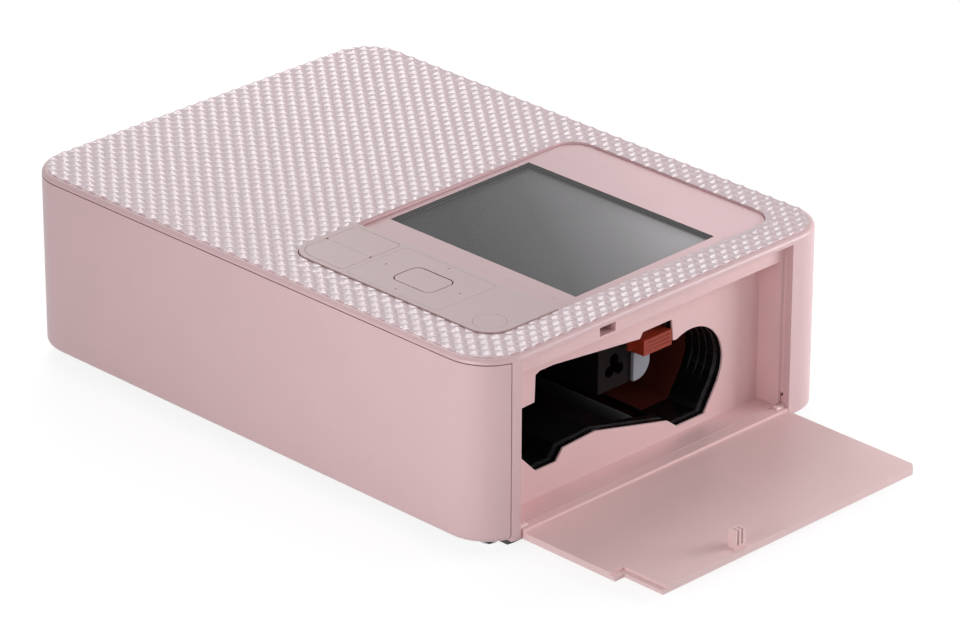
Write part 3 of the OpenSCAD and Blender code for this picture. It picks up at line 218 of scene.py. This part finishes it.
def diagonal(n):
    """0 at the panel's front left corner, 1 at its back right corner."""
    place = n.add("ShaderNodeTexCoord")
    split = n.add("ShaderNodeSeparateXYZ")
    climb = n.add("ShaderNodeMath", operation="MULTIPLY_ADD")
    climb.inputs[1].default_value = DIAGONAL_CLIMB
    share = n.add("ShaderNodeMapRange")
    share.inputs["From Min"].default_value = DIAGONAL[0] * MM
    share.inputs["From Max"].default_value = DIAGONAL[1] * MM
    n.link(place.outputs["Object"], split.inputs[0])
    n.link(split.outputs["Y"], climb.inputs[0])
    n.link(split.outputs["X"], climb.inputs[2])
    n.link(climb.outputs[0], share.inputs["Value"])
    return share.outputs[0]


def painted_reflection_ramp(n, steps):
    """Painted reflection: greys along the panel's diagonal."""
    return colour_ramp(n, diagonal(n), [(at, (grey, grey, grey, 1)) for at, grey in steps])


def with_painted_reflection(material, steps):
    """Paints a reflection into a moulded material's colour: darker at the panel's front left, paler
    toward its back right.
    """
    n = Nodes(material.node_tree, clear=False)
    shader = next(node for node in n.tree.nodes if node.type == "BSDF_PRINCIPLED")
    base = shader.inputs["Base Color"]
    tone = n.add("ShaderNodeVectorMath", operation="MULTIPLY")
    n.link(base.links[0].from_socket, tone.inputs[0])
    n.link(painted_reflection_ramp(n, steps), tone.inputs[1])
    n.link(tone.outputs[0], base)
    return material


def display_with_painted_reflection(name):
    """Switched-off display: near black at the front left, with a painted reflection that grows paler
    toward its back right corner.
    """
    material, n, out = new_material(name)
    shader = n.add("ShaderNodeBsdfPrincipled", Roughness=0.5)
    shader.inputs["Specular IOR Level"].default_value = 0.1
    n.link(painted_reflection_ramp(n, DISPLAY_PAINTED_REFLECTION), shader.inputs["Base Color"])
    n.link(shader.outputs[0], out.inputs[0])
    return material


MATERIALS = {
    "shell": moulded("shell_plastic", linear(226, 191, 194), rough=0.38, grain=0.25,
                     spread=0.015, specular=0.7),
    # The studs are the shell's plastic; their greyer pink is a painted sheen that stands in for the
    # white they reflect
    "pattern": moulded("pattern_plastic_painted_sheen", linear(221, 196, 201), rough=0.28, spread=0.015,
                       specular=1.0),
    # Paler than the shell pink, though it is the same plastic: painted light on the open door
    "door": moulded("door_plastic_painted_light", linear(243, 210, 210), rough=0.38, grain=0.25, spread=0.015),
    # Paler than the shell pink, though it is the same plastic: painted light on the ink bay's frame,
    # strip and floor
    "bay_pink": moulded("bay_plastic_painted_light", linear(237, 202, 203), rough=0.4, grain=0.15, spread=0.02),
    # Greyer than the shell for the keypad's own matte tone, and darker as painted shade
    "panel": moulded("panel_plastic_greyer_and_shaded", linear(203, 175, 176), rough=0.36, grain=0.15, spread=0.01,
                     specular=0.7),
    # The window's pink carries a painted reflection, darker at the front left and paler toward the
    # back right
    "window_pink": with_painted_reflection(moulded("window_plastic_painted_reflection", linear(234, 196, 200), rough=0.3, coat=0.25,
                                  coat_rough=0.05, spread=0.01), WINDOW_PAINTED_REFLECTION),
    "glass": clear_glass("cover_glass"),
    # The screen's grey ramp is a painted reflection, paler toward the back right
    "screen": display_with_painted_reflection("screen_painted_reflection"),
    "liner": moulded("liner_black", linear(30, 30, 32), rough=0.6, specular=0.2),
    "base_grey": moulded("base_plastic", linear(70, 68, 70), rough=0.5, grain=0.4),
    "rubber": moulded("black_rubber", linear(32, 32, 34), rough=0.75, grain=0.8, spread=0.1),
    "steel": moulded("plated_steel", linear(190, 190, 195), rough=0.25, metallic=1.0, cloud=120,
                     streak=(0.15, 1, 1), grain=0.2),
    "sheet_steel": moulded("zinc_sheet", linear(175, 177, 180), rough=0.35, metallic=1.0, cloud=90,
                           spread=0.12, grain=0.2),
    "guide_black": moulded("black_gloss_plastic", linear(22, 21, 23), rough=0.16, spread=0.15,
                           coat=0.6),
    "chamber_brown": moulded("brown_plastic", linear(112, 52, 42), rough=0.25, spread=0.08,
                             coat=0.3),
    "lever_orange": moulded("orange_plastic", linear(150, 52, 30), rough=0.35, spread=0.05,
                            specular=0.3),
    "gear_ivory": moulded("ivory_acetal", linear(225, 220, 205), rough=0.35),
    "brass": moulded("cut_brass", linear(212, 178, 105), rough=0.25, metallic=1.0),
    "board_green": moulded("circuit_board", linear(30, 92, 60), rough=0.3, coat=0.5, spread=0.15),
    "heat_sink": moulded("black_anodised", linear(26, 21, 22), rough=0.5, specular=0.04),
    "ceramic": moulded("glazed_ceramic", linear(232, 226, 214), rough=0.15, coat=0.5),
    "cap_grey": moulded("grey_plastic", linear(138, 143, 152), rough=0.4),
}


# ---------- mesh helpers ----------

# Vertices closer than this are one, mm, and faces that turn less than this are flat, degrees
WELD = 0.002
FLAT_ANGLE = 0.4
# Edges that turn more than the first get rounded, and more than the second stay crisp, degrees
BEVEL_ANGLE = 40
CRISP_ANGLE = 30
BEVEL_SEGMENTS = 2
# A face is upright when its normal climbs less than this
UPRIGHT = 0.3
# Where upright faces cancel out below this sum, there is no outward
LEAST_OUTWARD = 0.1


def new_mesh(name, bm):
    """Ends a bmesh as a mesh."""
    mesh = bpy.data.meshes.new(name)
    bm.to_mesh(mesh)
    bm.free()
    return mesh


def new_object(name, data):
    """An object in the scene."""
    thing = bpy.data.objects.new(name, data)
    scene.collection.objects.link(thing)
    return thing


def add_piece(name, mesh, body, slot, look=None):
    """A visible piece, in its slot's material unless another one is named."""
    piece = new_object(name, mesh)
    mesh.materials.clear()
    mesh.materials.append(MATERIALS[look or slot])
    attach(piece, body)
    return piece


def bake(piece):
    """Applies a piece's modifiers."""
    graph = bpy.context.evaluated_depsgraph_get()
    mesh = bpy.data.meshes.new_from_object(piece.evaluated_get(graph))
    old = piece.data
    piece.modifiers.clear()
    piece.data = mesh
    bpy.data.meshes.remove(old)


def shade(mesh, angle=CRISP_ANGLE):
    """Smooth shading with crisp edges above an angle."""
    for polygon in mesh.polygons:
        polygon.use_smooth = True
    mesh.set_sharp_from_angle(angle=math.radians(angle))


def welded(node):
    """A bmesh of a CAD node, with the triangles' shared corners joined."""
    bm = bmesh.new()
    bm.from_mesh(NODES[node].data)
    bmesh.ops.remove_doubles(bm, verts=bm.verts, dist=WELD * MM)
    return bm


def flatten(bm):
    """Joins the triangles of each flat face."""
    bmesh.ops.dissolve_limit(bm, angle_limit=math.radians(FLAT_ANGLE), verts=bm.verts,
                             edges=bm.edges)


def swell(bm, width, from_z):
    """Moves upright faces above a height outward, mm, so that a hairline gap gets finer."""
    bm.normal_update()
    moves = []
    for vert in bm.verts:
        if vert.co.z < from_z * MM:
            continue
        out = Vector((0, 0, 0))
        for face in vert.link_faces:
            if abs(face.normal.z) < UPRIGHT:
                out += Vector((face.normal.x, face.normal.y, 0)).normalized()
        if out.length > LEAST_OUTWARD:
            moves.append((vert, out.normalized() * width * MM))
    for vert, move in moves:
        vert.co += move


def rounded(node, width, look=None, fuller=0.0):
    """A copy of a CAD node with its sharp edges rounded stands for it."""
    bm = welded(node)
    flatten(bm)
    if fuller:
        swell(bm, fuller, KEY_CAP_Z)
    name = node + "_look"
    piece = add_piece(name, new_mesh(name, bm), BODY_OF[node], SLOT_OF[node], look)
    bevel = piece.modifiers.new("edges", "BEVEL")
    bevel.width = width * MM
    bevel.segments = BEVEL_SEGMENTS
    bevel.limit_method = "ANGLE"
    bevel.angle_limit = math.radians(BEVEL_ANGLE)
    bevel.use_clamp_overlap = True
    bake(piece)
    shade(piece.data)
    even = piece.modifiers.new("even", "WEIGHTED_NORMAL")
    even.keep_sharp = True
    bake(piece)
    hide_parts(node)
    return piece


def inside(x, y, low, high, r):
    """How far a point lies inside a round-cornered rectangle, mm; negative outside."""
    cx, cy = (low[0] + high[0]) / 2, (low[1] + high[1]) / 2
    dx = abs(x - cx) - (high[0] - low[0]) / 2 + r
    dy = abs(y - cy) - (high[1] - low[1]) / 2 + r
    return r - math.hypot(max(dx, 0), max(dy, 0)) - min(max(dx, dy), 0)


def round_outline(low, high, r, steps):
    """Points of a round-cornered rectangle, anticlockwise, mm."""
    points = []
    corners = [(high[0] - r, low[1] + r, -90), (high[0] - r, high[1] - r, 0),
               (low[0] + r, high[1] - r, 90), (low[0] + r, low[1] + r, 180)]
    for cx, cy, start in corners:
        for k in range(steps + 1):
            a = math.radians(start + 90 * k / steps)
            points.append((cx + r * math.cos(a), cy + r * math.sin(a)))
    return points


def band(bm, low, high):
    """Faces between two rings of vertices."""
    count = len(low)
    for k in range(count):
        m = (k + 1) % count
        bm.faces.new((low[k], low[m], high[m], high[k]))


def prism(bm, outline, z0, z1):
    """Adds a closed prism on an outline, mm."""
    low = [bm.verts.new((x * MM, y * MM, z0 * MM)) for x, y in outline]
    high = [bm.verts.new((x * MM, y * MM, z1 * MM)) for x, y in outline]
    bm.faces.new(list(reversed(low)))
    bm.faces.new(high)
    band(bm, low, high)


# ---------- patterned top ----------

# Pitch of the stud lattice along x and y, and the place of one stud, mm
LATTICE = (5.18, 4.27)
LATTICE_AT = (1.35, 0.6)
# Half steps from the middle that reach past every edge of the top
LATTICE_REACH = 40
STUD_H = 0.58
STUD_SIDES = 12
# Plan of a stud: 0 is a circle, 1 is a diamond
STUD_DIAMOND = 0.5
STUD_CRISP_ANGLE = 50
# (share of the plan, share of the height) up a stud; below 0 it is a depth in the field, mm
STUD_RINGS = [(1.0, -0.1), (1.0, 0.0), (0.62, 0.42), (0.28, 0.8), (0.1, 0.96)]
# Near the panel a stud's height rises by this slope, from this least height, mm
PANEL_SLOPE = 0.5
PANEL_LEAST_H = 0.22
# Further room from the panel to the studs that stay whole, mm
PANEL_ROOM = 1.2
# The tools that trim the studs reach from below the field to above the studs, mm
TRIM_Z = (50, 60)
TOP_CORNER_STEPS = 16
PANEL_CORNER_STEPS = 12


def stud_limit(x, y):
    """Greatest height of a stud, which falls towards the edge of the control panel, mm."""
    return max(-inside(x, y, PANEL_LOW, PANEL_HIGH, PANEL_R) * PANEL_SLOPE, PANEL_LEAST_H)


def stud(bm, x, y):
    """One closed stud of the pattern, on the field of the case."""
    a, b = LATTICE[0] / 2, LATTICE[1] / 2
    rings = []
    for share, rise in STUD_RINGS:
        ring = []
        for k in range(STUD_SIDES):
            t = 2 * math.pi * k / STUD_SIDES
            c, s = math.cos(t), math.sin(t)
            scale = 1 / (abs(c) + abs(s)) ** STUD_DIAMOND
            vx, vy = x + a * share * c * scale, y + b * share * s * scale
            z = FIELD_Z + (min(rise * STUD_H, stud_limit(vx, vy)) if rise >= 0 else rise)
            ring.append(bm.verts.new((vx * MM, vy * MM, z * MM)))
        rings.append(ring)
    tip = bm.verts.new((x * MM, y * MM, (FIELD_Z + min(STUD_H, stud_limit(x, y))) * MM))
    for low, high in zip(rings, rings[1:]):
        band(bm, low, high)
    for k in range(STUD_SIDES):
        bm.faces.new((rings[-1][k], rings[-1][(k + 1) % STUD_SIDES], tip))
    bm.faces.new(list(reversed(rings[0])))


def trim(piece, outline, operation, overlaps=False):
    """Keeps or removes what lies within an outline, seen from above."""
    bm = bmesh.new()
    prism(bm, outline, *TRIM_Z)
    mesh = new_mesh("trim", bm)
    tool = new_object("trim", mesh)
    modifier = piece.modifiers.new("trim", "BOOLEAN")
    modifier.operation = operation
    modifier.solver = "EXACT"
    modifier.use_self = overlaps
    modifier.object = tool
    bake(piece)
    bpy.data.objects.remove(tool)
    bpy.data.meshes.remove(mesh)


def make_top_pattern():
    """Rows of studs between the rim and the control panel; those on an edge are cut by it."""
    step = (LATTICE[0] / 2, LATTICE[1] / 2)
    low = (RIM_R - BODY_HALF[0], RIM_R - BODY_HALF[1])
    high = (BODY_HALF[0] - RIM_R, BODY_HALF[1] - RIM_R)
    reach = step[0]
    panel_reach = reach + PANEL_ROOM
    whole, cut = bmesh.new(), bmesh.new()
    for i in range(-LATTICE_REACH, LATTICE_REACH + 1):
        for j in range(-LATTICE_REACH, LATTICE_REACH + 1):
            if (i + j) % 2:
                continue
            x, y = i * step[0] + LATTICE_AT[0], j * step[1] + LATTICE_AT[1]
            edge = inside(x, y, low, high, CORNER_R - RIM_R)
            panel = -inside(x, y, PANEL_LOW, PANEL_HIGH, PANEL_R)
            if edge > reach and panel > panel_reach:
                stud(whole, x, y)
            elif edge > -reach and panel > -reach:
                stud(cut, x, y)
    pieces = [add_piece(name, new_mesh(name, bm), "body", "shell", "pattern")
              for name, bm in (("top_pattern", whole), ("top_pattern_edge", cut))]
    outline = round_outline(low, high, CORNER_R - RIM_R, TOP_CORNER_STEPS)
    trim(pieces[1], outline, "INTERSECT", overlaps=True)
    hole = round_outline(PANEL_LOW, PANEL_HIGH, PANEL_R, PANEL_CORNER_STEPS)
    trim(pieces[1], hole, "DIFFERENCE")
    for piece in pieces:
        shade(piece.data, STUD_CRISP_ANGLE)


# ---------- display ----------

# The liner's outer and inner faces lie this far outside the glass, mm
DISPLAY_LINER_OUT, DISPLAY_LINER_IN = 0.045, 0.01
# It starts this far over the display and ends this far below the glass's top, mm
DISPLAY_LINER_FOOT, DISPLAY_LINER_DROP = 0.01, 0.03
# The glass slopes, and corners this close to its front or back edge give the height there, mm
GLASS_EDGE_TOL = 0.1


def make_display_liner():
    """Dark liner of the display's opening, between the window's walls and the glass."""
    glass = [v.co / MM for v in NODES["display_glass"].data.vertices]
    x0, x1 = min(v.x for v in glass), max(v.x for v in glass)
    y0, y1 = min(v.y for v in glass), max(v.y for v in glass)
    floor = max(v.co.z for v in NODES["display_module"].data.vertices) / MM
    tops = [max(v.z for v in glass if abs(v.y - y) < GLASS_EDGE_TOL) - DISPLAY_LINER_DROP
            for y in (y0, y1)]
    bm = bmesh.new()
    rings = []
    for out, at_top in ((DISPLAY_LINER_OUT, False), (DISPLAY_LINER_OUT, True),
                        (DISPLAY_LINER_IN, True), (DISPLAY_LINER_IN, False)):
        ring = []
        for x, y, side in ((x0 - out, y0 - out, 0), (x1 + out, y0 - out, 0),
                           (x1 + out, y1 + out, 1), (x0 - out, y1 + out, 1)):
            z = tops[side] if at_top else floor + DISPLAY_LINER_FOOT
            ring.append(bm.verts.new((x * MM, y * MM, z * MM)))
        rings.append(ring)
    for low, high in zip(rings, rings[1:] + rings[:1]):
        band(bm, low, high)
    bmesh.ops.recalc_face_normals(bm, faces=bm.faces)
    add_piece("display_liner", new_mesh("display_liner", bm), "body", "screen", "liner")


# ---------- ink bay ----------

# Width of the pink lip that the black liner leaves, and the liner's gap and thickness, mm
LIP = 0.55
LINER_GAP = 0.02
LINER_T = 0.05
# The opening's walls face across x, up to this tilt, between the plate's faces, within this, mm
WALL_TILT = 0.01
PLATE_TOL = 0.05
# Corners this close to the plate's front are the liner's front edge, mm
FRONT_EDGE = 0.5
# Least cosine between a corner's way out and a wall's normal
LEAST_TURN = 0.5


def make_opening_liner():
    """Black liner of the cartridge opening, which leaves a fine pink lip."""
    bm = welded("ink_bay_frame")
    bm.normal_update()
    others = [face for face in bm.faces
              if abs(face.normal.x) > WALL_TILT
              or min(v.co.x for v in face.verts) < (PLATE_BACK - PLATE_TOL) * MM
              or max(v.co.x for v in face.verts) > (PLATE_FRONT + PLATE_TOL) * MM]
    bmesh.ops.delete(bm, geom=others, context="FACES")
    flatten(bm)
    bm.normal_update()
    for vert in bm.verts:
        out = sum((face.normal for face in vert.link_faces), Vector()).normalized()
        turn = max(LEAST_TURN, min(out.dot(face.normal) for face in vert.link_faces))
        vert.co += out * LINER_GAP * MM / turn
        if vert.co.x > (PLATE_FRONT - FRONT_EDGE) * MM:
            vert.co.x = (PLATE_FRONT - LIP) * MM
    liner = add_piece("opening_liner", new_mesh("opening_liner", bm), "body", "guide_black")
    thick = liner.modifiers.new("thick", "SOLIDIFY")
    thick.thickness = LINER_T * MM
    thick.offset = 1
    bake(liner)
    shade(liner.data)


def make_lever_spring():
    """A rounded copy of the lever's coil spring, with a mesh of its own."""
    spring = rounded("lever_spring", 0.04)
    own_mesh(spring)


# ---------- pieces ----------

make_top_pattern()
make_display_liner()
make_opening_liner()
make_lever_spring()

# CAD node, width of its rounded edges, a look of its own, and how much fuller it gets, mm
ROUNDED = [
    ("upper_case", 0.12), ("front_cover", 0.25), ("ink_bay_frame", 0.2), ("eject_lever", 0.25),
    ("head_end_cap", 0.25), ("front_frame", 0.2), ("base_plate", 0.2), ("rubber_feet", 0.4),
    ("display_window", 0.1), ("ink_door", 0.5, "door"), ("keypad_plate", 0.06, "panel"),
    ("ok_key", 0.2, "panel"), ("arrow_pad", 0.04, "panel", 0.12), ("edit_key", 0.04, "panel", 0.06),
    ("back_key", 0.04, "panel", 0.06), ("power_key", 0.04, "panel", 0.12),
]
for row in ROUNDED:
    rounded(*row)

for node_name, cad in NODES.items():
    cad.data.materials.clear()
    cad.data.materials.append(MATERIALS[SLOT_OF[node_name]])


# ---------- camera, floor and light ----------

# Fitted to the photograph: degrees from the front to the right, up and round, and the place, mm
CAMERA_TURN = (45.034, 25.172, 0.201)
CAMERA_AT = (948.43, -925.54, 641.78)
FLOOR_HALF_M = 6
FLOOR_GLOW = 0.86
AMBIENT = 0.22
# Name, place, target, size and power, in metres and watts
LAMPS = [
    ("overhead", (-0.46, 0.32, 0.8), (-0.02, 0, 0.057), (0.24, 0.62), 2.4),
    ("left", (-0.35, 0.1, 0.35), (-0.06, 0.02, 0.057), (0.3, 0.3), 0.25),
    ("front", (0.115, -0.36, 0.1), (0.05, -0.05, 0.03), (0.16, 0.1), 0.44),
    ("right_back", (0.34, 0.38, 0.16), (0.08, 0.02, 0.03), (0.2, 0.2), 1.1),
    ("right", (0.45, 0.2, 0.3), (0.12, 0, 0.01), (0.2, 0.2), 0.28),
]


def make_camera():
    """Camera of the photograph."""
    azimuth, elevation, roll = map(math.radians, CAMERA_TURN)
    back = Vector((math.sin(azimuth) * math.cos(elevation),
                   -math.cos(azimuth) * math.cos(elevation), math.sin(elevation)))
    right = Vector((0, 0, 1)).cross(back).normalized()
    up = back.cross(right)
    turned_right = right * math.cos(roll) + up * math.sin(roll)
    turned_up = up * math.cos(roll) - right * math.sin(roll)
    data = bpy.data.cameras.new("camera")
    data.lens = 198.7
    data.sensor_width = 36
    data.clip_end = 20
    camera = new_object("camera", data)
    turn = Matrix((turned_right, turned_up, back)).transposed().to_4x4()
    camera.matrix_world = Matrix.Translation(Vector(CAMERA_AT) * MM) @ turn
    scene.camera = camera


def add_lamp(name, place, target, size, watts):
    """A rectangular lamp that faces its target."""
    data = bpy.data.lights.new(name, "AREA")
    data.shape = "RECTANGLE"
    data.size, data.size_y = size
    data.energy = watts
    lamp = new_object(name, data)
    lamp.location = place
    toward = Vector(target) - lamp.location
    lamp.rotation_euler = toward.to_track_quat("-Z", "Y").to_euler()


def background_rays(n):
    """1 for the rays that show the white background: camera, glossy and transmission."""
    path = n.add("ShaderNodeLightPath")
    total = path.outputs["Is Camera Ray"]
    for name in ("Is Glossy Ray", "Is Transmission Ray"):
        either = n.add("ShaderNodeMath", operation="MAXIMUM")
        n.link(total, either.inputs[0])
        n.link(path.outputs[name], either.inputs[1])
        total = either.outputs[0]
    return total


def make_stage():
    """A floor that shows white with a soft shadow, and throws pale light back."""
    bm = bmesh.new()
    bmesh.ops.create_grid(bm, x_segments=1, y_segments=1, size=FLOOR_HALF_M)
    floor = new_object("floor", new_mesh("floor", bm))
    material, n, out = new_material("pale_floor")
    bounce = n.add("ShaderNodeBsdfDiffuse", Color=(0.85, 0.85, 0.85, 1))
    shadow = n.add("ShaderNodeBsdfDiffuse", Color=(0.25, 0.25, 0.25, 1))
    glow = n.add("ShaderNodeEmission", Color=(1, 1, 1, 1), Strength=FLOOR_GLOW)
    seen = n.add("ShaderNodeAddShader")
    mix = n.add("ShaderNodeMixShader")
    n.link(shadow.outputs[0], seen.inputs[0])
    n.link(glow.outputs[0], seen.inputs[1])
    n.link(background_rays(n), mix.inputs["Fac"])
    n.link(bounce.outputs[0], mix.inputs[1])
    n.link(seen.outputs[0], mix.inputs[2])
    n.link(mix.outputs[0], out.inputs[0])
    floor.data.materials.append(material)


def make_world():
    """White to the camera and in reflections, and a weak light from all round."""
    world = bpy.data.worlds.new("studio")
    world.use_nodes = True
    n = Nodes(world.node_tree)
    out = n.add("ShaderNodeOutputWorld")
    ambient = n.add("ShaderNodeBackground", Color=(1, 1, 1, 1), Strength=AMBIENT)
    white = n.add("ShaderNodeBackground", Color=(1, 1, 1, 1), Strength=1.0)
    mix = n.add("ShaderNodeMixShader")
    n.link(background_rays(n), mix.inputs["Fac"])
    n.link(ambient.outputs[0], mix.inputs[1])
    n.link(white.outputs[0], mix.inputs[2])
    n.link(mix.outputs[0], out.inputs[0])
    scene.world = world


make_camera()
make_stage()
make_world()
for lamp_row in LAMPS:
    add_lamp(*lamp_row)
scene.view_settings.view_transform = "Standard"
